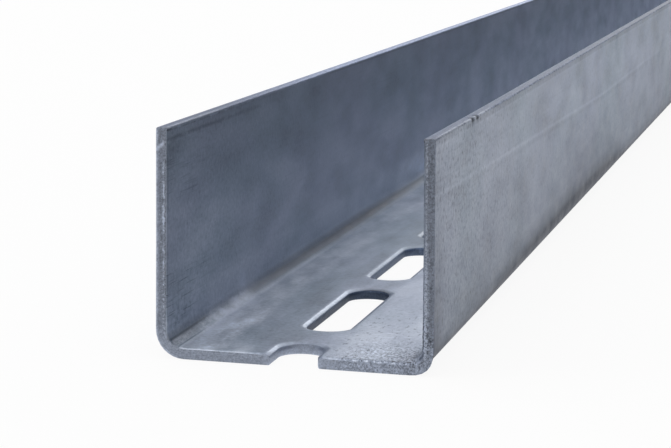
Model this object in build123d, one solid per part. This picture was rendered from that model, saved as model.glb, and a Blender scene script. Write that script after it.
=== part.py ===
from build123d import *
import math
import os

# Reinforced drywall stud: a U channel roll-formed from one galvanised steel strip.
# The web lies on the floor and the flanges stand up. X runs across the web, Y along the
# stud and Z up. The web's outer face is Z = 0, and the stud's middle is X = 0, Y = 0.
# Millimetres.

# Channel
STUD_LENGTH = 2600.0
WEB_WIDTH = 48.8            # over the outer faces of both flanges
FLANGE_HEIGHT = 40.0        # from the web's outer face to the flange's top edge
STEEL_THICKNESS = 2.0
BEND_INNER_RADIUS = 3.0

# Punched slots: one row on the web's centre line, each with its long side along the stud
SLOT_WIDTH = 8.0
SLOT_LENGTH = 39.0          # end to end, the round ends included
SLOT_PITCH = 50.0
CUT_SLOT_DEPTH = 10.0       # what the near end leaves of the slot that it cuts through
RIM_ROLLOVER = 0.5          # how far the punch drags the rim in, and down, where it enters

# Clearance
PUNCH_OVERRUN = 1.0         # how far the punch reaches past each face of the web

# Derived
BEND_OUTER_RADIUS = BEND_INNER_RADIUS + STEEL_THICKNESS
TROUGH_WIDTH = WEB_WIDTH - 2 * STEEL_THICKNESS
NEAR_END_Y = -STUD_LENGTH / 2
FAR_END_Y = STUD_LENGTH / 2
CUT_SLOT_Y = NEAR_END_Y + CUT_SLOT_DEPTH - SLOT_LENGTH / 2
ROLLOVER_Z = STEEL_THICKNESS - RIM_ROLLOVER


def trough_outline(width, height, corner_radius):
    """A rectangle that stands on the sketch's X axis, with its two lower corners rounded."""
    outline = Rectangle(width, height, align=(Align.CENTER, Align.MIN))
    lower_corners = outline.vertices().group_by(Axis.Y)[0]
    return fillet(lower_corners, corner_radius)


def channel_section():
    """The U section: the outer outline with the trough taken out, open at the top."""
    outer = trough_outline(WEB_WIDTH, FLANGE_HEIGHT, BEND_OUTER_RADIUS)
    trough = trough_outline(TROUGH_WIDTH, FLANGE_HEIGHT, BEND_INNER_RADIUS)
    return outer - Pos(0, STEEL_THICKNESS) * trough


def bare_channel():
    """The section run along the whole stud, before punching."""
    return extrude(Plane.XZ * channel_section(), amount=STUD_LENGTH / 2, both=True)


def slot_block(margin, bottom, top):
    """A slot-shaped block, long side along Y, wider than the slot by the margin all round."""
    outline = SlotOverall(SLOT_LENGTH + 2 * margin, SLOT_WIDTH + 2 * margin, rotation=90)
    return Pos(0, 0, bottom) * extrude(outline, amount=top - bottom)


def slot_punch():
    """A straight shank through the web, and a flared head that leaves the rolled-over rim."""
    shank = slot_block(0, -PUNCH_OVERRUN, STEEL_THICKNESS)
    head = slot_block(RIM_ROLLOVER, ROLLOVER_Z, STEEL_THICKNESS + PUNCH_OVERRUN)
    head_bottom = head.edges().group_by(Axis.Z)[0]
    return shank + chamfer(head_bottom, RIM_ROLLOVER)


def slot_centres():
    """Y of every slot that reaches into the stud, whose ends cut the row where they fall."""
    before = NEAR_END_Y - SLOT_LENGTH / 2 - CUT_SLOT_Y
    after = FAR_END_Y + SLOT_LENGTH / 2 - CUT_SLOT_Y
    first = math.floor(before / SLOT_PITCH) + 1
    last = math.ceil(after / SLOT_PITCH) - 1
    return [CUT_SLOT_Y + index * SLOT_PITCH for index in range(first, last + 1)]


def stud():
    """The channel with the row of slots punched through its web."""
    punch = slot_punch()
    return bare_channel() - [Pos(0, y, 0) * punch for y in slot_centres()]


os.makedirs("parts", exist_ok=True)
export_step(stud(), "parts/stud_channel.step")
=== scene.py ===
import math

import bmesh
import bpy
from mathutils import Matrix, Vector, noise


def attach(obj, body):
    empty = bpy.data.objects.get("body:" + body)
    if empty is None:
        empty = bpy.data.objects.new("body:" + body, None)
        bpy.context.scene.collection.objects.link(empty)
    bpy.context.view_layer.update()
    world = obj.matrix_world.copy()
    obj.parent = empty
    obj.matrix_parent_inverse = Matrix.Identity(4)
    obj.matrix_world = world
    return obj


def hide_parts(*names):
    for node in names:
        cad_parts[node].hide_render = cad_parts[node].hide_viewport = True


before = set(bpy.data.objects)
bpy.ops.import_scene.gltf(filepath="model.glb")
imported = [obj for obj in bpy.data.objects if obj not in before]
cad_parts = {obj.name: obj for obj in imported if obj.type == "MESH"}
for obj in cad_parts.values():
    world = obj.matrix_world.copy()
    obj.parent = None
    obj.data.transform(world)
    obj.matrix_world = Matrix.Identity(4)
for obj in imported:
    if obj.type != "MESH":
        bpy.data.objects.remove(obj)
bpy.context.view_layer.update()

# Sizes in millimetres, the same as the CAD model's. The mesh is scaled to metres at the end.
MM = 0.001
LENGTH = 2600.0
WEB_WIDTH = 48.8
HEIGHT = 40.0
THICKNESS = 2.0
INNER_RADIUS = 3.0
OUTER_RADIUS = INNER_RADIUS + THICKNESS
SLOT_WIDTH = 8.0
SLOT_LENGTH = 39.0
SLOT_PITCH = 50.0
CUT_SLOT_DEPTH = 10.0
NEAR_END = -LENGTH / 2
FAR_END = LENGTH / 2
CUT_SLOT_Y = NEAR_END + CUT_SLOT_DEPTH - SLOT_LENGTH / 2
CUT_END = NEAR_END - CUT_SLOT_Y    # the near end, measured from the cut slot's centre
HALF_WEB = WEB_WIDTH / 2
BEND_X = HALF_WEB - OUTER_RADIUS
STRAIGHT_HALF = (SLOT_LENGTH - SLOT_WIDTH) / 2    # from a slot's centre to its round ends'
QUARTER = math.pi / 2
BEND_LENGTH = (OUTER_RADIUS + INNER_RADIUS) / 2 * QUARTER    # along the middle of the steel

# Small edges that the CAD model leaves sharp
SLIT_EDGE = 0.32        # rounding along the flanges' top edges
PUNCH_EXIT = 0.26       # rounding where the punch leaves the web
ROLLOVER_WIDE = 0.85    # the rim that the punch drags in
ROLLOVER_DEEP = 0.44
ROLLOVER_CURVE = 1.35   # power by which the rim falls away
FAR_RIM_WIDER = 0.7     # share by which the rim is wider at the slots' far ends
FAR_RIM_FLATTER = 0.5   # share by which it is less deep there
DULL_RIM = 0.85         # how much less worn it is there

# The sheared ends: the blade rolls the inner edge over and leaves a torn face
END_ZONE = 1.3          # how far in from the end the close mesh of the cut starts
CLOSE_RING = END_ZONE - 0.25    # how far in its first ring lies
BLADE_ROLL = 0.46       # rounding of the inner edge
TORN_EDGE = 0.12        # rounding of the outer edge
CORNER_EDGE = 0.20      # rounding of the notch's and the flange tops' cut edges
EDGE_MIX = 1.4          # how near a corner one rounding changes into another
TORN_RECESS = 0.13      # mean depth of the torn face behind the end plane
TORN_SLANT = 0.05       # how much deeper it is at the outer edge than at the inner one
CHIP_X, CHIP_Z = -23.7, 36.9    # the chip in the left flange's end
CHIP_HIGH = 0.12        # how far it stands out of the torn face

# The web's panel around each slot
PANEL_HALF = 8.0
PANEL_STEPS = 8

# Two small dents in the right flange's top edge: how far from the near end
DENTS = (32.4, 36.8)

# Other small departures from the drawn shape, some with how far along the stud they reach
FLANGE_LEAN, FLANGE_WAVE, FLANGE_RIPPLE = 0.10, 0.07, 0.02
END_LEAN, END_LEAN_REACH = 0.30, 30.0       # the right flange's top, at the near end
NOTCH_SLIP, NOTCH_SLIP_REACH = 0.55, 1.3    # the notch's right corner
BEND_BULGE, BEND_BULGE_REACH = 0.62, 1.6    # the right bend's outside, at the near end
DENT_IN, DENT_DOWN, DENT_REACH, DENT_HIGH = 0.34, 0.16, 0.8, 0.9

# Steps and stations of the mesh, close together where the photograph looks
WEB_STEPS = 3           # from the panel to the bend
BEND_STEPS = 8
TOP_STEPS = 3           # round the flanges' top edges
FLANGE_STEPS = 3        # up the flanges
UNDER_TOP = (1.4, 0.5, 0.0)     # columns below the rounding of the top edges
EXIT_STEPS = {True: 3, False: 2}        # round the punch's exit, fine or not
RIM_STEPS = {True: 5, False: 2}         # over the rim, fine or not
FINE_CELLS = 5          # cells with a close grid, from the near end
FINE_ENDS = (16.4, 17.4, 18.5, 19.7, 21.1, 22.8)
FINE_STEPS = 7          # along half of a slot's straight side
COARSE_ENDS = (17.0, 19.0, 21.5)
COARSE_MIDDLE = 5.2
AT_NEAR_END = (1.2, 1.7, 2.3, 3.2, 4.4)     # from the end
ROUND_DENT = (-1.5, -1.0, -0.5, 0, 0.5, 1.0, 1.5)
EDGE_STEPS = 5          # round a sheared edge
TORN_STEPS = 7          # across the torn face
NEAR_STEP = 0.45        # between the points of the near end's contour
FAR_STEP = 1.2

# Tolerances in millimetres
WELD = 1e-3
SAME_STATION = 1e-4
ON_FACE = 0.02          # how far a point on a face of the steel may lie from it
ON_PLANE = 1e-5
ROUND_OFF = 1e-6

OUTSIDE_MARK = 60.0     # the strip attribute's third value on the outside; 0 inside


# Mesh

SKIN, CUT = 0, 1


def spread(start, stop, steps):
    """Evenly spaced values, both ends included."""
    return [start + (stop - start) * i / steps for i in range(steps + 1)]


def fade(distance, reach):
    """1 at no distance, about a third at the reach and next to nothing at twice as far."""
    return math.exp(-(distance / reach) ** 2)


class Column:
    """A line of vertices along the stud: its place in the section and on the flat strip."""

    def __init__(self, x, z, along, outside, edge=0.0, material=SKIN):
        self.x, self.z = x, z
        self.along, self.outside = along, outside
        self.edge, self.material = edge, material


def up_strip(z):
    """Where a height on a flange lies on the flat strip, from the web's middle."""
    return BEND_X + BEND_LENGTH + z - OUTER_RADIUS


def bend_column(turn, radius, outside):
    """A column on the bend, turned from the web towards the flange."""
    x = BEND_X + radius * math.sin(turn)
    z = OUTER_RADIUS - radius * math.cos(turn)
    return Column(x, z, BEND_X + BEND_LENGTH * turn / QUARTER, outside)


def half_section():
    """The columns of the right-hand half, from the panel's lower edge round to its upper one.
    A column's material is that of the faces between it and the next."""
    turns = spread(0, QUARTER, BEND_STEPS)
    edge_turns = spread(0, QUARTER, TOP_STEPS)
    flange = HEIGHT - SLIT_EDGE
    under = [flange - below for below in UNDER_TOP]
    rises = spread(OUTER_RADIUS, under[0], FLANGE_STEPS) + under[1:]
    columns = [Column(x, 0, x, 1) for x in spread(PANEL_HALF, BEND_X, WEB_STEPS)[:-1]]
    columns += [bend_column(turn, OUTER_RADIUS, 1) for turn in turns]
    columns += [Column(HALF_WEB, z, up_strip(z), 1) for z in rises[1:]]
    columns[-1].material = CUT
    for turn in edge_turns[1:]:
        x = HALF_WEB - SLIT_EDGE * (1 - math.cos(turn))
        z = flange + SLIT_EDGE * math.sin(turn)
        columns.append(Column(x, z, up_strip(HEIGHT), 1, 1.0, CUT))
    for turn in edge_turns:
        x = HALF_WEB - THICKNESS + SLIT_EDGE * (1 - math.sin(turn))
        z = flange + SLIT_EDGE * math.cos(turn)
        columns.append(Column(x, z, up_strip(HEIGHT), 0, 1.0, CUT))
    columns[-1].material = SKIN
    columns += [Column(HALF_WEB - THICKNESS, z, up_strip(z), 0) for z in rises[::-1][1:]]
    columns += [bend_column(turn, INNER_RADIUS, 0) for turn in turns[::-1][1:]]
    columns += [Column(x, THICKNESS, x, 0) for x in spread(BEND_X, PANEL_HALF, WEB_STEPS)[1:]]
    return columns


def cell_offsets(index):
    """Stations of one slot's cell, from its centre."""
    if index < FINE_CELLS:
        half = spread(0, STRAIGHT_HALF, FINE_STEPS) + list(FINE_ENDS)
    else:
        half = [COARSE_MIDDLE, STRAIGHT_HALF] + list(COARSE_ENDS)
    half.append(SLOT_PITCH / 2)
    offsets = set([-v for v in half] + half)
    if index == 0:
        offsets |= set(CUT_END + d for d in AT_NEAR_END)
    if index == 1:
        offsets |= set(CUT_END + dent - SLOT_PITCH + d for dent in DENTS for d in ROUND_DENT)
    return sorted(offsets)


class Mesher:
    """Collects vertices and faces in a bmesh, with the strip place and the edge wear."""

    def __init__(self):
        self.bm = bmesh.new()
        self.strip = self.bm.verts.layers.float_vector.new("strip")
        # how worn each rounded edge is; on the zinc this also paints the rims' highlight
        self.worn = self.bm.verts.layers.float.new("worn")

    def vertex(self, x, y, z, along, outside, edge=0.0):
        v = self.bm.verts.new((x, y, z))
        v[self.strip] = (along, y, OUTSIDE_MARK * outside)
        v[self.worn] = edge
        return v

    def face(self, corners, material, flip):
        f = self.bm.faces.new(corners[::-1] if flip else corners)
        f.material_index = material
        f.smooth = True


def add_side(mesh, side, stations):
    """One flange with its bend and its part of the web, side +1 right and -1 left."""
    columns = half_section()
    rows = [[mesh.vertex(side * c.x, y, c.z, side * c.along, c.outside, c.edge) for c in columns]
            for y in stations]
    for low, high in zip(rows, rows[1:]):
        for i, column in enumerate(columns[:-1]):
            corners = [low[i], high[i], high[i + 1], low[i + 1]]
            mesh.face(corners, column.material, side < 0)


def slot_rings(fine):
    """The rings of a slot's panel from its lower border to its upper one. Each is how far it lies
    from the slot's wall, its height, its share of the way to the border, wear and material."""
    rings = [(0, 0, 1.0, 0, SKIN), (PUNCH_EXIT + 0.3, 0, 0.12, 0, SKIN)]
    for turn in spread(0, QUARTER, EXIT_STEPS[fine]):
        out = PUNCH_EXIT * (1 - math.sin(turn))
        up = PUNCH_EXIT * (1 - math.cos(turn))
        rings.append((out, up, 0, 0.6, CUT))
    if fine:
        rings.append((0, THICKNESS * 0.45, 0, 0, CUT))
    for rise in spread(0, 1, RIM_STEPS[fine]):
        out = ROLLOVER_WIDE * rise
        up = THICKNESS - ROLLOVER_DEEP * (1 - rise) ** ROLLOVER_CURVE
        rings.append((out, up, 0, 0.45 + 0.55 * rise, SKIN if rise else CUT))
    rings.append((ROLLOVER_WIDE, THICKNESS, 0.16, 0.15, SKIN))
    rings.append((ROLLOVER_WIDE, THICKNESS, 1.0, 0, SKIN))
    return rings


def add_panel(mesh, centre, offsets, fine):
    """The web around one slot, as rings from the slot's wall to the panel's border."""
    rings = slot_rings(fine)
    across = spread(-PANEL_HALF, PANEL_HALF, PANEL_STEPS)
    border = [(-PANEL_HALF, y) for y in offsets]
    border += [(x, offsets[-1]) for x in across[1:]]
    border += [(PANEL_HALF, y) for y in offsets[::-1][1:]]
    border += [(x, offsets[0]) for x in across[::-1][1:-1]]
    rows = []
    for out, z, share, edge, _ in rings:
        row = []
        for bx, by in border:
            spine = max(-STRAIGHT_HALF, min(STRAIGHT_HALF, by))
            way = Vector((bx, by - spine)).normalized()
            far = max(0.0, way.y) ** 2
            outside = 1 if z < THICKNESS / 2 else 0
            wider = out if outside else out * (1 + FAR_RIM_WIDER * far)
            height = z if outside else THICKNESS - (THICKNESS - z) * (1 - FAR_RIM_FLATTER * far)
            wall = Vector((0, spine)) + way * (SLOT_WIDTH / 2 + wider)
            place = wall.lerp(Vector((bx, by)), share)
            worn = edge * (1 - DULL_RIM * far)
            row.append(mesh.vertex(place.x, centre + place.y, height, place.x, outside, worn))
        rows.append(row)
    count = len(border)
    for low, high, ring in zip(rows, rows[1:], rings[1:]):
        material = ring[-1]
        for i in range(count):
            j = (i + 1) % count
            mesh.face([low[i], high[i], high[j], low[j]], material, False)


def depth_in(x, z):
    """How deep a point of the section lies under the outer face, in millimetres."""
    return OUTER_RADIUS - math.hypot(max(abs(x) - BEND_X, 0), max(OUTER_RADIUS - z, 0))


def close_end(mesh, place, way, step):
    """Cuts the mesh square near one end and closes it with a sheared edge, half by half."""
    bm = mesh.bm
    everything = bm.verts[:] + bm.edges[:] + bm.faces[:]
    cut = place - way * END_ZONE
    bmesh.ops.bisect_plane(bm, geom=everything, dist=ON_PLANE, plane_co=(0, cut, 0),
                           plane_no=(0, way, 0), clear_outer=True)
    left = set(e for e in bm.edges if e.is_boundary
               and all(abs(v.co.y - cut) < WELD for v in e.verts))
    while left:
        edge = left.pop()
        loop = [edge.verts[0], edge.verts[1]]
        while True:
            more = [e for e in loop[-1].link_edges if e in left]
            if not more:
                break
            left.discard(more[0])
            loop.append(more[0].other_vert(loop[-1]))
        if loop[0] == loop[-1]:
            loop.pop()
        ShearedEnd(mesh, loop, place, way, step)


class ShearedEnd:
    """One half of a sheared end: a close ring of the steel, its rounded edges and the torn face."""

    def __init__(self, mesh, loop, place, way, step):
        self.mesh, self.place, self.way, self.step = mesh, place, way, step
        self.loop = self.in_order(loop)
        self.contour = self.close_contour()
        self.flip = (self.area(self.contour) > 0) != (way > 0)
        self.join()
        last = self.round_edges()
        self.torn_face(last)

    def kind(self, v):
        depth = depth_in(v.co.x, v.co.z)
        if depth < ON_FACE:
            return "outer"
        return "inner" if depth > THICKNESS - ON_FACE else "edge"

    def in_order(self, loop):
        """From the notch out along the outer face, over the flange's top and back inside."""
        outer = [i for i, v in enumerate(loop) if self.kind(v) == "outer"]
        start = min(outer, key=lambda i: abs(loop[i].co.x))
        loop = loop[start:] + loop[:start]
        if self.kind(loop[1]) != "outer":
            loop = loop[:1] + loop[1:][::-1]
        return loop

    def close_contour(self):
        """Points of the contour, close together, with partners across the steel."""
        kinds = [self.kind(v) for v in self.loop]
        outer = kinds.count("outer")
        inner_start = kinds.index("inner")
        inner = kinds.count("inner")
        count = len(self.loop)
        parts = []
        for i, kind in enumerate(kinds):
            a, b = i, i + 1
            if kind == "inner" and i < inner_start + inner - 1:
                b = outer - 1 - (i - inner_start)
                a = b - 1
            length = (self.loop[b % count].co - self.loop[a].co).length
            parts.append(max(1, math.ceil(length / self.step - ROUND_OFF)))
        points = []
        self.starts = []
        for i, v in enumerate(self.loop):
            after = self.loop[(i + 1) % count]
            self.starts.append(len(points))
            for k in range(parts[i]):
                t = k / parts[i]
                spot = v.co.lerp(after.co, t)
                strip = v[self.mesh.strip].lerp(after[self.mesh.strip], t)
                whole = kinds[i] if k == 0 or kinds[i] == kinds[(i + 1) % count] else "edge"
                points.append({"p": Vector((spot.x, spot.z)), "strip": strip, "kind": whole})
        self.starts.append(len(points))
        self.outer_count = self.starts[outer - 1] + 1
        self.inner_first = self.starts[inner_start]
        self.inner_last = self.starts[inner_start + inner - 1]
        self.shape(points)
        return points

    def area(self, points):
        """Twice the contour's area, negative where it runs clockwise."""
        p = [q["p"] for q in points]
        return sum(p[i - 1].cross(p[i]) for i in range(len(p)))

    def shape(self, points):
        """Gives each point its inward direction and how far its edge is rounded."""
        count = len(points)
        flat = [q["p"] for q in points]
        turn = 1 if self.area(points) > 0 else -1
        reach = int(EDGE_MIX / self.step) + 1
        for i, q in enumerate(points):
            before = (flat[i] - flat[i - 1]).normalized()
            after = (flat[(i + 1) % count] - flat[i]).normalized()
            tangent = (before + after).normalized()
            q["in"] = Vector((-tangent.y, tangent.x)) * turn
            near = min([abs(k) for k in range(-reach, reach + 1)
                        if points[(i + k) % count]["kind"] == "edge"] or [reach])
            share = near / reach
            full = {"outer": TORN_EDGE, "inner": BLADE_ROLL, "edge": CORNER_EDGE}[q["kind"]]
            q["round"] = CORNER_EDGE + (full - CORNER_EDGE) * share
            if q["kind"] == "inner" and abs(q["p"].x) < BEND_X + 3:
                q["round"] *= 1.15 + 0.4 * min(1.0, max(0.0, (q["p"].x - 4) / 12))

    def ring(self, offset, inset, wear):
        """A ring of vertices; offset, inset and wear are functions of a contour point."""
        row = []
        for q in self.contour:
            spot = q["p"] + q["in"] * inset(q)
            y = self.place - self.way * offset(q)
            strip = q["strip"]
            outside = strip.z / OUTSIDE_MARK
            row.append(self.mesh.vertex(spot.x, y, spot.y, strip.x, outside, wear(q)))
        return row

    def bridge(self, low, high, skin):
        count = len(low)
        for k in range(count):
            j = (k + 1) % count
            kinds = {self.contour[k]["kind"], self.contour[j]["kind"]}
            material = SKIN if kinds <= skin else CUT
            self.mesh.face([low[k], low[j], high[j], high[k]], material, self.flip)

    def join(self):
        """The strip between the cut mesh and the first close ring."""
        self.first = self.ring(lambda q: CLOSE_RING, lambda q: 0, lambda q: 0)
        count = len(self.contour)
        for i, v in enumerate(self.loop):
            after = self.loop[(i + 1) % len(self.loop)]
            a, b = self.starts[i:i + 2]
            close = [self.first[k % count] for k in range(a, b + 1)]
            kinds = {self.contour[a]["kind"], self.contour[b % count]["kind"]}
            material = SKIN if kinds <= {"outer"} or kinds <= {"inner"} else CUT
            self.mesh.face([v, after] + close[::-1], material, self.flip)

    def recess(self, spot, share):
        """Depth of the torn face behind the end plane; share is 0 outside and 1 inside."""
        coarse = noise.noise(Vector((spot.x * 0.9, spot.y * 0.9, 5.0 + self.way)))
        fine = noise.noise(Vector((spot.x * 3.4, spot.y * 3.4, 9.0 + self.way)))
        depth = TORN_RECESS + TORN_SLANT * (0.5 - share) + 0.035 * coarse + 0.04 * fine
        depth -= CHIP_HIGH * self.chip(spot.x, spot.y, 0.55, 0.8)
        return max(0.01, depth)

    def chip(self, x, z, wide, high):
        """1 at the chip in the left flange's near end, falling away around it."""
        if self.way > 0:
            return 0
        return fade(math.hypot((x - CHIP_X) / wide, (z - CHIP_Z) / high), 1.0)

    def round_edges(self):
        """Rings from the faces of the steel round to the torn face; the last one is returned."""
        last = self.first
        for q in self.contour:
            nick = noise.noise(Vector((q["strip"].x * 1.7, q["strip"].z, 3.0)))
            share = {"outer": 0.0, "edge": 0.5, "inner": 1.0}[q["kind"]]
            q["wear"] = 1.0 if q["kind"] == "inner" else 0.5
            q["rough"] = 0.06 * max(0.0, nick) * q["wear"]
            q["recess"] = self.recess(q["p"] + q["in"] * q["round"], share)
        for i, rise in enumerate(spread(0, 1, EDGE_STEPS)):
            turn = QUARTER * rise
            row = self.ring(lambda q: q["round"] * 1.25 * (1 - math.sin(turn)) + q["recess"] * rise,
                            lambda q: q["round"] * (1 - math.cos(turn)) + q["rough"] * rise,
                            lambda q: rise * q["wear"])
            skin = {"outer", "inner"} if i == 0 else {"inner"} if i < EDGE_STEPS - 1 else set()
            self.bridge(last, row, skin)
            last = row
        return last

    def torn_face(self, last):
        """A grid across the steel, from the outer edge to the inner one, with the torn relief."""
        columns = []
        for j in range(self.outer_count):
            outer, inner = last[j], last[self.inner_last - j]
            column = [outer]
            for t in spread(0, 1, TORN_STEPS)[1:-1]:
                spot = outer.co.lerp(inner.co, t)
                strip = outer[self.mesh.strip].lerp(inner[self.mesh.strip], t)
                y = self.place - self.way * self.recess(Vector((spot.x, spot.z)), t)
                wear = self.chip(spot.x, spot.z, 0.6, 0.9)
                outside = strip.z / OUTSIDE_MARK
                column.append(self.mesh.vertex(spot.x, y, spot.z, strip.x, outside, wear))
            columns.append(column + [inner])
        for low, high in zip(columns, columns[1:]):
            for k in range(TORN_STEPS):
                self.mesh.face([low[k], high[k], high[k + 1], low[k + 1]], CUT, self.flip)
        top = last[self.outer_count:self.inner_first]
        self.mesh.face(top + columns[-1][::-1], CUT, self.flip)
        wall = last[self.inner_last + 1:]
        self.mesh.face(wall + columns[0], CUT, self.flip)


def warp(co):
    """Small departures of a real rolled and sheared stud from the drawn one, in millimetres."""
    x, y, z = co
    side = 1 if x > 0 else -1
    from_end = y - NEAR_END
    height = max(0.0, (z - OUTER_RADIUS) / (HEIGHT - OUTER_RADIUS))
    flange_x = HALF_WEB - THICKNESS - 1
    if abs(x) > flange_x:
        wave = noise.noise(Vector((y * 0.011, z * 0.03, 7.0 * side)))
        ripple = noise.noise(Vector((y * 0.06, z * 0.08, 3.0 * side)))
        lean = FLANGE_LEAN + FLANGE_WAVE * wave + FLANGE_RIPPLE * ripple
        x -= side * lean * (0.15 + 0.85 * height)
    if x > flange_x:
        x -= END_LEAN * height * fade(from_end, END_LEAN_REACH)
    if 3.0 < x < PANEL_HALF and from_end < 5:
        x += NOTCH_SLIP * fade(from_end, NOTCH_SLIP_REACH) * min(1.0, (PANEL_HALF - x) / 3.0)
    for dent in DENTS:
        if x > HALF_WEB - THICKNESS and z > HEIGHT - 3:
            dented = fade(from_end - dent, DENT_REACH) * fade(HEIGHT - z, DENT_HIGH)
            x -= DENT_IN * dented * max(0.0, (x - HALF_WEB + 1.2) / 1.2)
            z -= DENT_DOWN * dented
    if from_end < 8 and z < OUTER_RADIUS and x > BEND_X:
        turn = math.atan2(x - BEND_X, OUTER_RADIUS - z)
        bulge = BEND_BULGE * math.sin(2 * turn) ** 2 * fade(from_end, BEND_BULGE_REACH)
        x += bulge * math.sin(turn)
        z -= bulge * math.cos(turn)
    return Vector((x, y, z))


def build_stud():
    """The whole stud as one mesh, in metres."""
    mesh = Mesher()
    cells = int(round((FAR_END + SLOT_PITCH / 2 - CUT_SLOT_Y) / SLOT_PITCH))
    stations = []
    for index in range(cells + 1):
        centre = CUT_SLOT_Y + index * SLOT_PITCH
        offsets = cell_offsets(index)
        add_panel(mesh, centre, offsets, index < FINE_CELLS)
        stations += [centre + v for v in offsets]
    stations.sort()
    stations = [y for i, y in enumerate(stations)
                if i == 0 or y - stations[i - 1] > SAME_STATION]
    for side in (-1, 1):
        add_side(mesh, side, stations)
    bmesh.ops.remove_doubles(mesh.bm, verts=mesh.bm.verts[:], dist=WELD)
    close_end(mesh, NEAR_END, -1, NEAR_STEP)
    close_end(mesh, FAR_END, 1, FAR_STEP)
    for v in mesh.bm.verts:
        v.co = warp(v.co) * MM
    bmesh.ops.recalc_face_normals(mesh.bm, faces=mesh.bm.faces[:])
    data = bpy.data.meshes.new("rolled_stud")
    mesh.bm.to_mesh(data)
    mesh.bm.free()
    piece = bpy.data.objects.new("rolled_stud", data)
    bpy.context.scene.collection.objects.link(piece)
    weighted = piece.modifiers.new("flat_faces", "WEIGHTED_NORMAL")
    weighted.weight = 80
    return piece


# Materials

SKIN_METALLIC = 0.8
CUT_METALLIC = 0.9
DARKEST_CUT = 0.04      # the shade that no mark of the cut steel goes below

# Colours of the zinc, of what lies on it, and of the light and shade painted on it
ZINC_BLUE = (0.325, 0.384, 0.470, 1)
ZINC_VIOLET = (0.344, 0.387, 0.486, 1)
# the zinc where its shade is lightest, most of all under painted light
ZINC_LIT = (0.368, 0.397, 0.455, 1)
FAR_TINT = (1, 1.02, 1.055, 1)
# worn rims, lighter also as their painted highlight
WORN_AND_LIT_ZINC = (0.46, 0.52, 0.62, 1)
# painted shade on the far slots' rims
FAR_RIM_SHADE = (0.20, 0.23, 0.28, 1)
SCRATCHED = (0.66, 0.71, 0.82, 1)
ZINC_DUST = (0.64, 0.69, 0.82, 1)
# painted shade on the outside, along the bends and low on the flanges
OUTER_SHADE = (0.008, 0.020, 0.050, 1)
# painted shade along the left crease
CREASE_SHADE = (0.001, 0.017, 0.052, 1)

# Colours of the cut steel
BARE_STEEL = (0.268, 0.299, 0.368, 1)
WARM_STEEL = (0.265, 0.239, 0.250, 1)
WORN_STEEL = (0.49, 0.54, 0.65, 1)
TOP_TINT = (0.95, 1, 1.15, 1)
SLOT_TINT = (0.86, 1, 1.20, 1)


class Nodes:
    """Short calls for building the node tree of one material or world."""

    def __init__(self, owner):
        self.owner = owner
        owner.use_nodes = True
        self.tree = owner.node_tree
        self.tree.nodes.clear()

    def node(self, kind, inputs, **settings):
        """A new node. Each input is a value or another node's output."""
        node = self.tree.nodes.new("ShaderNode" + kind)
        for key, value in settings.items():
            setattr(node, key, value)
        for key, value in inputs.items():
            if isinstance(value, bpy.types.NodeSocket):
                self.tree.links.new(value, node.inputs[key])
            else:
                node.inputs[key].default_value = value
        return node

    def attribute(self, name, output):
        return self.node("Attribute", {}, attribute_name=name).outputs[output]

    def coordinates(self, output):
        return self.node("TexCoord", {}).outputs[output]

    def split(self, vector):
        return list(self.node("SeparateXYZ", {0: vector}).outputs)

    def maths(self, kind, *values):
        return self.node("Math", dict(enumerate(values)), operation=kind).outputs[0]

    def add(self, first, *more):
        for value in more:
            first = self.maths("ADD", first, value)
        return first

    def times(self, first, *more):
        for value in more:
            first = self.maths("MULTIPLY", first, value)
        return first

    def larger(self, a, b):
        return self.maths("MAXIMUM", a, b)

    def scaled(self, value, *factors):
        """The value times one plus the product of the factors."""
        return self.times(value, self.add(self.times(*factors), 1))

    def stretched(self, vector, scale):
        node = self.node("VectorMath", {0: vector, 1: scale}, operation="MULTIPLY")
        return node.outputs[0]

    def noise(self, vector, scale, detail, rough):
        inputs = {"Vector": vector, "Scale": scale, "Detail": detail, "Roughness": rough}
        return self.node("TexNoise", inputs).outputs["Fac"]

    def ramp(self, value, low, high, to_low=0, to_high=1):
        """Rises or falls between two values of its input, and stays level outside them."""
        inputs = {"Value": value, "From Min": low, "From Max": high,
                  "To Min": to_low, "To Max": to_high}
        return self.node("MapRange", inputs, clamp=True).outputs["Result"]

    def band(self, value, low, high, soft):
        """1 between low and high, with soft borders."""
        return self.times(self.ramp(value, low - soft, low + soft),
                          self.ramp(value, high + soft, high - soft))

    def blend(self, share, a, b, kind="MIX"):
        inputs = {0: share, 6: a, 7: b}
        return self.node("Mix", inputs, data_type="RGBA", blend_type=kind).outputs[2]

    def tinted(self, a, b):
        return self.blend(1, a, b, "MULTIPLY")

    def bump(self, height, strength, distance):
        inputs = {"Height": height, "Strength": strength, "Distance": distance}
        return self.node("Bump", inputs).outputs["Normal"]

    def seen(self, *kinds):
        """1 for rays of these kinds, else 0."""
        path = self.node("LightPath", {})
        most = path.outputs[kinds[0]]
        for kind in kinds[1:]:
            most = self.larger(most, path.outputs[kind])
        return most

    def finish(self, base, metallic, roughness, normal):
        inputs = {"Base Color": base, "Metallic": metallic, "Roughness": roughness,
                  "Normal": normal}
        shader = self.node("BsdfPrincipled", inputs)
        self.node("OutputMaterial", {0: shader.outputs[0]})
        return self.owner


class Metal(Nodes):
    """A material of the stud. Its shade starts near 1, and each mark on the metal changes it, as do
    painted light and painted shade.
    """

    def __init__(self, name):
        super().__init__(bpy.data.materials.new(name))
        self.strip = self.attribute("strip", "Vector")
        self.worn = self.attribute("worn", "Fac")

    def spots(self, stretch, scale=1, detail=3, rough=0.6):
        """Noise on the flat strip, whose spots are longer where the stretch is smaller."""
        return self.noise(self.stretched(self.strip, stretch), scale, detail, rough)

    def mark(self, *factors):
        """Adds the product of the factors to the shade."""
        self.shade = self.add(self.shade, self.times(*factors))

    def scale(self, *factors):
        """Multiplies the shade by one plus the product of the factors."""
        self.shade = self.scaled(self.shade, *factors)

    def dents(self, along, reach):
        """1 at the dents in the right flange's top edge."""
        return self.add(*[self.band(along, dent - reach, dent + reach, 0.4) for dent in DENTS])


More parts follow.
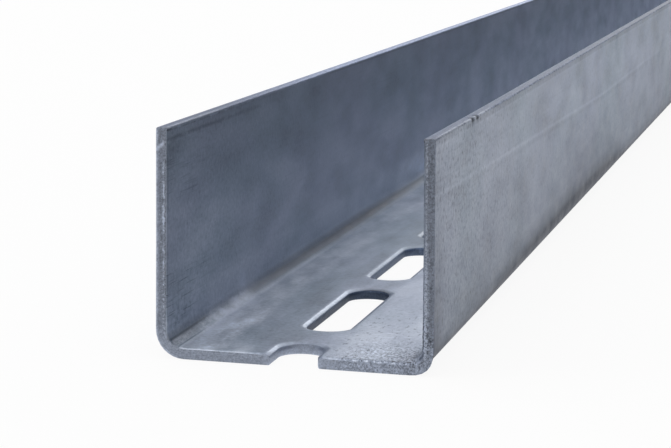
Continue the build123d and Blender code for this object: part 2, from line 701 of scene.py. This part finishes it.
class ZincSkin(Metal):
    """Matte bluish zinc. Its marks are placed on the flat strip, in millimetres: across from the
    web's middle, with the left negative, and along from the near end. The bends lie between 19.4
    and 25.7 across, and the flanges' tops at 60.7."""

    def __init__(self):
        super().__init__("zinc_skin")
        self.across, y, side = self.split(self.strip)
        self.wide = self.maths("ABSOLUTE", self.across)
        self.along = self.add(y, -NEAR_END)
        self.outside = self.ramp(side, 25, 35)
        self.inside = self.ramp(side, 35, 25)
        self.blotch = self.spots((1, 0.5, 1), 0.28, 4)
        self.pores = self.spots((0.85, 0.75, 1))
        self.lines = self.spots((2, 0.02, 1), 1, 2)
        self.grain = self.spots((1, 0.8, 1), 1.3, 3, 0.65)
        self.speck = self.spots((1, 0.7, 1), 2, 3, 0.7)
        self.rim_grain = self.spots((1, 0.6, 1), 2.6, 2)

    def ramp_across(self, *values):
        return self.ramp(self.across, *values)

    def band_across(self, *values):
        return self.band(self.across, *values)

    def ramp_along(self, *values):
        return self.ramp(self.along, *values)

    def band_along(self, *values):
        return self.band(self.along, *values)

    def by_side(self, inner, outer):
        return self.ramp(self.outside, 0, 1, inner, outer)


def zinc_all_over(n):
    """Marks all along the stud; the smallest fade away from the near end."""
    near = n.ramp_along(12, 110, 1, 0.4)
    clouds = n.spots((1, 0.4, 1), 0.07, 4)
    patches = n.spots((0.13, 0.045, 1), 1, 2, 0.5)
    n.shade = n.ramp(clouds, 0.3, 0.7, 0.91, 1.09)
    n.mark(n.ramp(n.blotch, 0.3, 0.7, -0.06, 0.06))
    n.mark(n.ramp(patches, 0.38, 0.70, 0.06, -0.18))
    n.mark(n.ramp(n.pores, 0.52, 0.68, 0.04, -0.36), n.by_side(0.32, 1), near)
    n.mark(n.ramp(n.lines, 0.56, 0.78, 0.01, -0.06))
    n.mark(n.ramp(n.grain, 0.32, 0.68, -0.13, 0.13), near, n.by_side(1, 1.4))


def roll_mark(n):
    """The rollers' mark on the right flange, which drifts down along the stud, with a painted
    shadow below it.
    """
    drift = n.add(n.across, n.ramp_along(0, 220, 0, 4.4))
    on_right = n.times(n.outside, n.ramp_along(430, 260))
    n.mark(on_right, n.band(drift, 50.8, 51.4, 0.25), 0.13)
    # the roll mark's painted shadow
    n.mark(on_right, n.band(drift, 49.6, 50.5, 0.3), -0.08)


def top_edges(n):
    """Under the flanges' tops, a burnished strip outside and the burr's painted shadow inside, with
    painted shade in the dents.
    """
    n.mark(n.outside, n.band(n.wide, 59.3, 60.5, 0.15), -0.13)
    n.mark(n.outside, n.band(n.wide, 58.9, 59.2, 0.12), 0.06)
    dashes = n.ramp(n.spots((0, 0.9, 1), 1, 2), 0.48, 0.58)
    n.mark(dashes, n.outside, n.band_across(59.5, 59.9, 0.2), n.ramp_along(60, 40), -0.22)
    n.mark(n.band_across(51, 58.4, 1), n.ramp_along(22, 8), n.outside, -0.10)
    broken = n.ramp(n.spots((0.5, 0.22, 1)), 0.41, 0.51)
    # the burr's painted shadow: a broken dark line under the top edge inside
    burr = n.add(n.band(n.wide, 60.05, 61.4, 0.2), n.times(n.band(n.wide, 58.3, 58.9, 0.25), 0.6))
    n.mark(burr, n.inside, broken, n.ramp_along(75, 25), -0.50)
    # painted shade in the dents
    n.mark(n.dents(n.along, 1.2), n.outside, n.ramp_across(59.8, 60.15), -0.62)


def left_fold(n):
    """Painted shade along the crease, which is returned, and the paler zinc beside it."""
    # painted shade along the crease, fading far off
    crease = n.times(
        n.ramp_across(n.ramp_along(140, 200, -24.9, -23.7), -22.9),
        n.ramp_across(n.ramp_along(80, 140, -20.3, -19.5), -21.4), n.inside,
        n.ramp_along(60, 110, 1, 1.14), n.ramp_along(200, 140, 0.74, 1),
        n.add(n.ramp_along(12, 20, 0.66, 0.40), n.ramp_along(28, 75, 0, 0.35)),
        n.ramp(n.blotch, 0.35, 0.65, 1.05, 0.85))
    # more painted shade deep in the crease, farther along
    low = n.times(
        n.band_across(-22.9, -21.4, 0.5), n.ramp_along(44, 50), n.inside,
        n.ramp_along(50, 90, 0.22, 0.115), n.ramp_along(240, 190),
        n.ramp_along(110, 150, 1, 1.6))
    n.scale(n.ramp_along(145, 205), n.band_across(-30, -23.5, 2.5), n.inside, 0.38)
    n.scale(n.ramp_across(-26, -30), n.ramp_along(250, 340, 0, 0.10), n.inside)
    sand = n.times(n.inside, n.band_across(-20.4, -13.5, 1.2),
                   n.ramp(n.blotch, 0.36, 0.62, 0.75, 1.20))
    sand_way = n.add(n.ramp_along(10, 16, 0.45, 0.66), n.ramp_along(25, 45, 0, -0.34))
    n.scale(sand, sand_way, n.ramp_along(90, 190, 1.15, 0.7))
    lift = n.add(n.band_across(-46, -23.5, 2.5), n.band_across(-30.5, -24.2, 1),
                 n.band_across(-14, -9, 2))
    n.scale(lift, n.inside, 0.11)
    n.scale(n.ramp_across(-28, -32), n.band_along(7, 30, 4), n.inside, 0.09)
    return n.add(crease, low)


def fold_end(n):
    """Near the end, two folded lines with a sandy strip between them and a smudge above."""
    upper = n.times(n.band_across(-23.35, -22.85, 0.18), n.ramp_along(26, 12))
    lower = n.times(n.band_across(-20.85, -20.5, 0.12), n.ramp_along(22, 10, 0, 0.8))
    n.scale(n.larger(upper, lower), n.inside, n.ramp(n.grain, 0.34, 0.5, 0.6, 1), -0.62)
    n.mark(n.band_across(-22.6, -21.1, 0.3), n.ramp_along(24, 10), n.inside,
           n.ramp(n.grain, 0.36, 0.6), n.ramp_along(12, 4, 0.30, 0.80))
    n.mark(n.band_across(-20.2, -8, 0.8), n.ramp_along(8, 2), n.inside,
           n.ramp(n.blotch, 0.36, 0.6, 0.3, 1), 0.30)
    n.mark(n.band_across(-30, -24.6, 1.2), n.band_along(2, 13, 3), n.inside,
           n.ramp(n.pores, 0.40, 0.56), -0.24)


def scratches(n):
    """Dark scratches along the left flange's inside, near the end."""
    thin = n.ramp(n.spots((2.6, 0.085, 1), 1, 2, 0.5), 0.58, 0.65)
    rows = n.add(n.times(n.band_across(-56, -47.5, 0.8), 0.7),
                 n.times(n.band_across(-36, -25, 0.8), 1.3))
    n.mark(thin, n.ramp_along(26, 12), rows, n.inside, n.ramp(n.grain, 0.36, 0.56), -0.42)


def right_corner(n):
    """A sandy patch in the end's right corner, which is returned, with painted shade in the corner
    and painted light in the tight part of the bend.
    """
    sandy = n.times(n.band_across(8, 30, 3), n.ramp_along(20, 6), n.inside)
    n.mark(sandy, n.ramp(n.speck, 0.38, 0.60, -0.70, 0.46))
    # painted shade in the corner between web and bend
    n.mark(n.ramp_across(14, 21), n.ramp_along(20, 8), n.inside, -0.46)
    # painted light in the tight part of the bend at the end
    n.mark(n.band_across(21.8, 25.2, 0.5), n.ramp_along(4, 1.5), n.inside, 0.58)
    return sandy


def right_web(n):
    """The web's right side, with painted light that makes it lighter towards the end, and pits
    beside the notch.
    """
    # painted light on the web's right side: near the end, between the first slots and beside the
    # notch
    n.mark(n.ramp_across(2, 8), n.ramp(n.wide, 26, 21), n.inside,
           n.ramp_along(110, 30, 0.6, 1), 0.41)
    n.mark(n.band_across(5.5, 13, 1), n.band_along(12, 21, 2), n.inside, 0.14)
    n.mark(n.ramp(n.wide, 14, 9), n.ramp_along(11, 6), n.inside, 0.14)
    dull = n.ramp(n.spots((0.30, 0.10, 1)), 0.42, 0.66)
    n.mark(dull, n.inside, n.ramp(n.wide, 23, 19), -0.14)
    pits = n.ramp(n.spots((1.2, 0.55, 1)), 0.58, 0.66)
    n.mark(pits, n.band_across(5.5, 19, 1), n.inside, n.ramp_along(55, 25), -0.68)


def rims(n):
    """The ends' rolled edges, with painted shade in grains along the right end and on the left roll
    and painted light along the right end's outline, and painted shade on the first slot's far rim,
    which falls away into the dark.
    """
    # painted shade in grains on the rolled edge along the right part of the end, over its bright
    # reflection
    grains = n.ramp(n.rim_grain, 0.58, 0.44, 0.08, 0.50)
    n.scale(grains, n.ramp_across(6, 10), n.ramp_across(25, 22),
            n.ramp_along(1.9, 1.1), n.inside, -1)
    # painted light along the right end's outline
    n.scale(n.ramp_across(27, 30), n.band_along(0.26, 0.60, 0.08), n.inside, 0.8)
    # painted shade on the left end's roll
    n.scale(n.ramp_across(-27, -30), n.ramp_along(0.6, 0.35), n.inside, -0.24)
    # painted shade on the first slot's far rim
    past = n.add(n.along, -(CUT_SLOT_DEPTH + SLOT_PITCH - SLOT_WIDTH / 2))
    square = n.add(n.times(past, past), n.times(n.across, n.across))
    lip = n.ramp(n.maths("SQRT", square), SLOT_WIDTH / 2 + 1.3, SLOT_WIDTH / 2, 0, 0.62)
    n.scale(lip, n.ramp(past, 1, 2.4), n.ramp_along(63, 62), n.inside,
            n.ramp_across(-4, -0.5, 0.3, 1), -1)


def outer_painted_shade(n):
    """Painted shade on the outside, darker towards the bottom: most along the bends, less up the
    flanges.
    """
    wide = n.wide
    sides = n.times(n.ramp(wide, 26, 50, 0.41, 0.10), n.ramp(wide, 16, 23, 0.4, 1))
    bend = n.times(n.ramp(wide, 18, 23), n.ramp(wide, 27.5, 24), 0.32)
    low = n.times(n.band_along(70, 260, 35), n.band(wide, 20, 27.5, 3), 0.50)
    far = n.times(n.band_along(135, 250, 25), n.ramp(wide, 46, 30), 0.16)
    under = n.ramp(wide, 25.4, 24.4, 0, 0.18)
    at_end = n.times(n.ramp_along(9, 3), n.ramp(wide, 52, 42, 0.3, 1), 0.21)
    return n.times(n.add(sides, bend, low, far, under, at_end), n.outside)


def zinc_tone(n):
    """The zinc's colour, greyer where painted light and other marks make it lightest, bluer far
    off, with the painted shade on the outside.
    """
    hue = n.spots((1, 0.5, 1), 0.035, 2, 0.5)
    tint = n.blend(n.ramp(hue, 0.4, 0.6), ZINC_BLUE, ZINC_VIOLET)
    tone = n.blend(n.ramp(n.shade, 1, 1.45, 0, 0.85),
                   n.tinted(tint, n.shade), n.tinted(ZINC_LIT, n.shade))
    far = n.times(n.ramp_along(60, 200), n.by_side(0.5, 1))
    tone = n.blend(far, tone, n.tinted(tone, FAR_TINT))
    # the painted shade on the outside
    return n.blend(outer_painted_shade(n), tone, OUTER_SHADE)


def fold_dust(n):
    """White zinc dust in the left fold, which fans out up the flange: where it covers the
    crease, how much of it lies there, and a faint plume above it."""
    wisps = n.spots((0.40, 0.20, 1))
    upper = n.add(n.ramp_along(12, 46, -21.4, -24.2), n.ramp(wisps, 0.3, 0.7, 1.6, -1.6))
    climb = n.ramp(n.maths("SUBTRACT", n.across, upper), -0.9, 2)
    fan = n.times(climb, n.ramp_across(-16.6, -19.4), n.ramp_along(9, 17),
                  n.ramp_along(48.5, 42.5), n.inside)
    dust = n.times(fan, n.ramp(wisps, 0.40, 0.60, 0.25, 0.85), n.ramp_along(28, 44, 1, 0.62))
    plume = n.times(n.band_along(43.8, 46.2, 1.8), n.band_across(-27.6, -24, 1),
                    n.inside, n.ramp(wisps, 0.35, 0.60, 0.48, 0.80))
    return fan, dust, plume


def bright_scratches(n):
    """Short bright scratches across the web's right side."""
    short = n.ramp(n.spots((0.28, 1.3, 1), 1, 2, 0.5), 0.60, 0.65)
    return n.times(short, n.band_across(8.5, 17.5, 1), n.band_along(10, 25, 2), n.inside, 0.75)


def rim_wear_and_highlight(n):
    """How worn the rolled rims are, which also paints their highlight: less far off, and broken up
    along the near end.
    """
    wear = n.times(n.ramp(n.worn, 0.15, 1), n.ramp_along(62, 75, 1, 0.45),
                   n.ramp(n.grain, 0.30, 0.62, 0.35, 0.75))
    at_end = n.ramp_along(3, 1.5)
    grains = n.ramp(n.rim_grain, 0.60, 0.50, 0.35, 1)
    lumps = n.ramp(n.spots((0.55, 0.1, 1)), 0.56, 0.44)
    wear = n.scaled(wear, at_end, n.ramp_across(6, 12, 0, 0.9), grains, -1)
    wear = n.scaled(wear, at_end, n.ramp_across(-25, -29), -0.75)
    return n.scaled(wear, at_end, n.ramp_across(0, -6), lumps, -0.8)


def zinc_skin():
    """The zinc, with every mark on it and its painted light and shade."""
    n = ZincSkin()
    zinc_all_over(n)
    roll_mark(n)
    top_edges(n)
    crease = left_fold(n)
    fold_end(n)
    scratches(n)
    sandy = right_corner(n)
    right_web(n)
    rims(n)
    fan, dust, plume = fold_dust(n)
    wear = rim_wear_and_highlight(n)
    # the painted shade along the crease, weaker under the dust
    tone = n.blend(n.scaled(crease, fan, -0.6), zinc_tone(n), CREASE_SHADE)
    tone = n.blend(n.times(n.larger(dust, plume), 0.75), tone, ZINC_DUST)
    tone = n.blend(bright_scratches(n), tone, SCRATCHED)
    # the worn rims, with their painted highlight
    tone = n.blend(wear, tone, WORN_AND_LIT_ZINC)
    # painted shade on the rims of the slots farther off, over their bright reflection
    far_rim_shade = n.times(n.ramp(n.worn, 0, 0.3), n.ramp_along(100, 115, 0, 0.55))
    tone = n.blend(far_rim_shade, tone, FAR_RIM_SHADE)
    rough = n.add(n.ramp(n.blotch, 0.3, 0.7, 0.44, 0.56), n.times(dust, 0.2), n.times(wear, -0.28))
    height = n.add(n.times(n.pores, 0.5), n.times(n.grain, 0.5),
                   n.times(n.lines, 0.3), n.times(sandy, n.speck, 1.2))
    return n.finish(tone, SKIN_METALLIC, rough, n.bump(height, 0.40, 0.00012))


class CutSteel(Metal):
    """Sheared, slit and punched faces: dark grainy steel, lighter where the blade went in. Its
    marks are placed in millimetres: x across from the stud's middle, level over the floor, the
    distance from the near end, and the depth across the steel, 0 at the outer face."""

    def __init__(self):
        super().__init__("cut_steel")
        place = self.stretched(self.coordinates("Object"), (1 / MM, 1 / MM, 1 / MM))
        self.x, y, self.level = self.split(place)
        self.wide = self.maths("ABSOLUTE", self.x)
        self.from_end = self.add(y, -NEAR_END)
        self.grain = self.noise(place, 3.3, 3, 0.7)
        self.glint = self.noise(place, 2.7, 2, 0.6)
        self.drag = self.noise(self.stretched(place, (1, 0.5, 1)), 1.1, 3, 0.6)
        self.mottle = self.spots((1, 1, 0.2), 0.35)
        self.depth = self.depth_across()
        at_end = self.ramp(self.from_end, 4, 2)
        self.on_right = self.times(self.ramp(self.x, 14, 21), at_end)
        self.on_left = self.times(self.ramp(self.x, -20, -22), at_end)

    def depth_across(self):
        """What depth_in works out, made a little uneven."""
        out = self.larger(self.add(self.wide, -BEND_X), 0)
        low = self.larger(self.maths("SUBTRACT", OUTER_RADIUS, self.level), 0)
        radius = self.maths("SQRT", self.add(self.times(out, out), self.times(low, low)))
        return self.add(self.maths("SUBTRACT", OUTER_RADIUS, radius),
                        self.ramp(self.drag, 0.3, 0.7, -0.18, 0.18))


def steel_all_over(n):
    """Grain, mottling and painted glints, paler at both faces of the steel, with painted light on
    the web's end and the left flange's end.
    """
    n.shade = n.ramp(n.drag, 0.34, 0.66, 0.77, 0.91)
    n.mark(n.ramp(n.grain, 0.36, 0.66, -0.30, 0.28))
    n.mark(n.ramp(n.mottle, 0.35, 0.65, -0.08, 0.08))
    n.mark(n.ramp(n.depth, 1.35, 1.75, 0, 0.12))
    n.mark(n.ramp(n.depth, 0.45, 0.20, 0, 0.12))
    # painted glints
    n.mark(n.ramp(n.glint, 0.62, 0.74, 0, 0.35))
    # painted light on the web's end
    n.mark(n.ramp(n.level, 6, 2.5, 0, 0.36))
    # painted light on the left flange's end
    n.mark(n.ramp(n.x, -20, -23, 0, 0.10))


def right_end(n):
    """The end's right side: a web paler with painted light, a grainy bend and a bright burr up its
    inner edge.
    """
    level, x = n.level, n.x
    n.scale(n.on_right, -0.08)
    # painted light on the web's end
    n.mark(n.band(x, 4.5, 19, 1), n.ramp(level, 3, 2), 0.18)
    n.mark(n.ramp(x, 5, 10), n.ramp(n.from_end, 4, 2), n.ramp(level, 9, 5),
           n.ramp(n.grain, 0.38, 0.62, -0.34, 0.30))
    n.mark(n.ramp(level, 26, 11), n.ramp(level, 2.2, 4), n.on_right,
           n.ramp(n.depth, 0.8, 1.55), n.ramp(n.grain, 0.36, 0.6, 0.3, 1.3), 0.85)


def left_end(n):
    """The left flange's end: a bright broken ridge, a pale rind, grooves and a chip."""
    level, depth, on_left = n.level, n.depth, n.on_left
    broken = n.ramp(n.spots((0.42, 1, 0), 1, 3, 0.65), 0.45, 0.53)
    ridge = n.times(broken, n.band(level, 16, 33.5, 1.5))
    dots = n.times(n.ramp(n.grain, 0.50, 0.60), n.ramp(level, 18, 14), n.ramp(level, 3, 6))
    n.mark(n.band(depth, 1.30, 1.53, 0.09), on_left, n.add(ridge, dots), 1.15)
    n.mark(n.ramp(depth, 0.75, 0.45), on_left, n.ramp(level, 6, 9), 0.22)
    n.mark(n.ramp(depth, 0.36, 0.18), on_left, 0.52)
    grooves = n.add(n.band(depth, 1.62, 1.75, 0.08), n.times(n.band(depth, 0.7, 1, 0.15), 0.3))
    n.mark(grooves, on_left, n.ramp(level, 8, 14), -0.26)
    slant = n.maths("SUBTRACT", level, n.times(depth, 0.8))
    n.mark(n.band(slant, 35.8, 36.5, 0.2), n.ramp(depth, 1.7, 1.3), on_left,
           n.ramp(depth, -0.4, 1.2), 1.1)


def punched(n):
    """Painted light on the notch's walls, and painted shade on the slots' walls, which are
    returned, with painted light just under their rims.
    """
    middle = n.ramp(n.wide, 5.6, 4.8)
    # painted light on the notch's walls
    n.mark(middle, n.ramp(n.from_end, 11, 10), 0.26)
    slot = n.times(middle, n.ramp(n.from_end, 10, 11))
    # painted shade on the slots' walls, less far off
    n.scale(slot, n.ramp(n.from_end, 62, 75, -0.72, -0.52))
    # darker low on the walls, with painted light just under the rims
    n.scale(slot, n.add(n.ramp(n.level, 0.3, 1.3, -0.18, 0.05), n.ramp(n.level, 1.2, 1.55, 0, 0.6)))
    return slot


def slit_tops(n):
    """The flanges' slit top edges: dulled by painted shade, which along the left one gives way to
    lighter tones far off, with a painted highlight along the outer corner, painted gleams near the
    end and painted shade in the dents. It returns where they are and how much they gleam."""
    from_end, drag = n.from_end, n.drag
    top = n.times(n.ramp(n.level, HEIGHT - 1, HEIGHT - 0.5), n.ramp(from_end, 0.3, 0.9))
    right = n.ramp(n.x, -1, 1)
    left = n.maths("SUBTRACT", 1, right)
    # painted shade dulls the tops; along the left one it turns lighter far off
    n.scale(top, n.add(n.times(right, n.ramp(from_end, 0, 320, -0.26, -0.46)),
                       n.times(left, n.ramp(from_end, 30, 120, -0.30, 0.35))))
    # painted highlight along the outer corner
    n.mark(top, n.ramp(n.wide, 24.05, 24.25), n.ramp(drag, 0.42, 0.58), 0.55)
    # painted gleams near the end, along the right outer corner and the left inner one
    side = n.split(n.strip)[2]
    outer = n.times(n.ramp(side, 56, 59.5), n.band(from_end, 4, 48, 4), right,
                    n.ramp(drag, 0.40, 0.50, 0.4, 1.3))
    inner = n.times(n.ramp(side, 10, 3), n.ramp(from_end, 38, 24, 0, 0.7), left)
    gleam = n.add(outer, inner)
    n.mark(gleam, top, 0.45)
    # painted shade in the dents
    n.scale(n.dents(from_end, 1), top, n.ramp(n.x, 22.9, 23.6), -0.5)
    return top, gleam


def cut_steel():
    """The cut steel, with every mark on it and its painted light and shade."""
    n = CutSteel()
    steel_all_over(n)
    right_end(n)
    left_end(n)
    slot = punched(n)
    top, gleam = slit_tops(n)
    covered = n.larger(top, slot)
    tone = n.tinted(BARE_STEEL, n.larger(n.shade, DARKEST_CUT))
    tone = n.blend(n.scaled(top, gleam, -1), tone, n.tinted(tone, TOP_TINT))
    tone = n.blend(slot, tone, n.tinted(tone, SLOT_TINT))
    warm = n.times(n.ramp(n.mottle, 0.52, 0.70), n.ramp(n.depth, 1.1, 1.6, 0, 0.30))
    tone = n.blend(n.scaled(warm, covered, -1), tone, WARM_STEEL)
    worn_from = n.ramp(n.on_right, 0, 1, 0.30, 0.55)
    wear = n.times(n.ramp(n.worn, worn_from, 1), n.ramp(n.grain, 0.42, 0.60, 0, 0.6))
    kept = n.times(n.on_left, n.ramp(n.level, 4, 7), 0.75)
    unworn = n.larger(kept, covered)
    tone = n.blend(n.scaled(wear, unworn, -1), tone, WORN_STEEL)
    rough = n.ramp(n.grain, 0.3, 0.7, 0.46, 0.62)
    relief = n.add(n.times(n.grain, 0.7), n.times(n.drag, 0.8))
    return n.finish(tone, CUT_METALLIC, rough, n.bump(relief, 0.6, 0.00022))


# Studio

SHOWN_BACKDROP = 1.0    # the white backdrop, as the camera and the metal see it
SHOWN_SHARE = 0.92      # how much of the floor is that backdrop
SKY_LIGHT = 0.78        # the room's light overhead, none at the horizon
SIDE_LIGHT = 0.31       # the room's light from ahead and the left, at its strongest
SIDE_WAY = (-0.5, 0.866, 0.0)
WHITE = (1, 1, 1, 1)
FLOOR_GREY = (0.88, 0.88, 0.88, 1)
FLOOR_SIZE = 120        # metres
FLOOR_LEVEL = -0.00005  # just under the stud


def make_floor():
    """A plain pale floor that keeps the stud's shadow."""
    n = Nodes(bpy.data.materials.new("floor"))
    matt = n.node("BsdfDiffuse", {"Color": FLOOR_GREY})
    glow = n.node("Emission", {"Color": WHITE, "Strength": SHOWN_BACKDROP})
    shown = n.seen("Is Camera Ray", "Is Glossy Ray", "Is Transmission Ray")
    share = n.times(shown, SHOWN_SHARE)
    mix = n.node("MixShader", {0: share, 1: matt.outputs[0], 2: glow.outputs[0]})
    n.node("OutputMaterial", {0: mix.outputs[0]})
    bpy.ops.mesh.primitive_plane_add(size=FLOOR_SIZE, location=(0, 0, FLOOR_LEVEL))
    floor = bpy.context.object
    floor.name = "floor"
    floor.data.materials.append(n.owner)


def make_room():
    """White surroundings for the camera; their light fades to the right and behind it."""
    world = bpy.data.worlds.new("room")
    bpy.context.scene.world = world
    n = Nodes(world)
    way = n.coordinates("Generated")
    side = n.node("VectorMath", {0: way, 1: SIDE_WAY}, operation="DOT_PRODUCT")
    above = n.larger(n.split(way)[2], 0)
    beside = n.larger(side.outputs["Value"], 0)
    light = n.add(n.times(above, SKY_LIGHT), n.times(beside, SIDE_LIGHT))
    shown = n.seen("Is Camera Ray", "Is Transmission Ray")
    strength = n.larger(light, n.times(shown, SHOWN_BACKDROP))
    glow = n.node("Background", {"Color": WHITE, "Strength": strength})
    n.node("OutputWorld", {0: glow.outputs[0]})


# Square soft lamps round the near end: azimuth from the stud's far end towards the right,
# elevation, side in metres and brightness
LAMPS = {"top": (0, 90, 2.0, 0.46), "ahead_low": (0, 14, 0.9, 2.07), "ahead": (0, 31, 1.0, 0.36),
         "ahead_high": (0, 60, 1.6, 0.26), "left_high": (240, 62, 1.6, 0.70),
         "left_back": (240, 40, 1.2, 1.10), "left": (270, 40, 1.2, 0.55),
         "left_ahead": (300, 40, 1.2, 0.98), "ahead_left": (330, 40, 1.2, 0.50)}
LAMP_REACH = 2.5
LAMP_TARGET = Vector((0, NEAR_END * MM + 0.1, 0.02))


def make_lamp(name, azimuth, elevation, side, brightness):
    """One soft lamp that faces the near end."""
    turn, rise = math.radians(azimuth), math.radians(elevation)
    way = Vector((math.cos(rise) * math.sin(turn), math.cos(rise) * math.cos(turn),
                  math.sin(rise)))
    data = bpy.data.lights.new(name, "AREA")
    data.shape = "SQUARE"
    data.size = side
    data.energy = brightness * math.pi * side * side
    lamp = bpy.data.objects.new(name, data)
    bpy.context.scene.collection.objects.link(lamp)
    lamp.location = LAMP_TARGET + way * LAMP_REACH
    lamp.rotation_mode = "QUATERNION"
    lamp.rotation_quaternion = (-way).to_track_quat("-Z", "Y")


# The camera as fitted to the photograph, in metres
PHOTO_WIDTH = 671
FOCAL_PIXELS = 2098.1
SENSOR_MM = 36.0
CAMERA_PLACE = (0.09208, -1.63489, 0.08295)
CAMERA_AHEAD = (-0.24205, 0.95608, -0.16531)
CAMERA_UP = (-0.05303, 0.15709, 0.98616)


def make_camera():
    """The photograph's view: from the right of the near end, a little above it."""
    data = bpy.data.cameras.new("camera")
    data.sensor_width = SENSOR_MM
    data.lens = FOCAL_PIXELS * SENSOR_MM / PHOTO_WIDTH
    data.clip_start, data.clip_end = 0.01, 100
    camera = bpy.data.objects.new("camera", data)
    bpy.context.scene.collection.objects.link(camera)
    back = -Vector(CAMERA_AHEAD).normalized()
    right = Vector(CAMERA_UP).cross(back).normalized()
    up = back.cross(right)
    turn = Matrix((right, up, back)).transposed().to_4x4()
    camera.matrix_world = Matrix.Translation(CAMERA_PLACE) @ turn
    bpy.context.scene.camera = camera


make_camera()
make_room()
make_floor()
for name, values in LAMPS.items():
    make_lamp(name, *values)

stud = build_stud()
stud.data.materials.append(zinc_skin())
stud.data.materials.append(cut_steel())
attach(stud, "root")
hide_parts("stud_channel")

bpy.context.scene.view_settings.view_transform = "Standard"
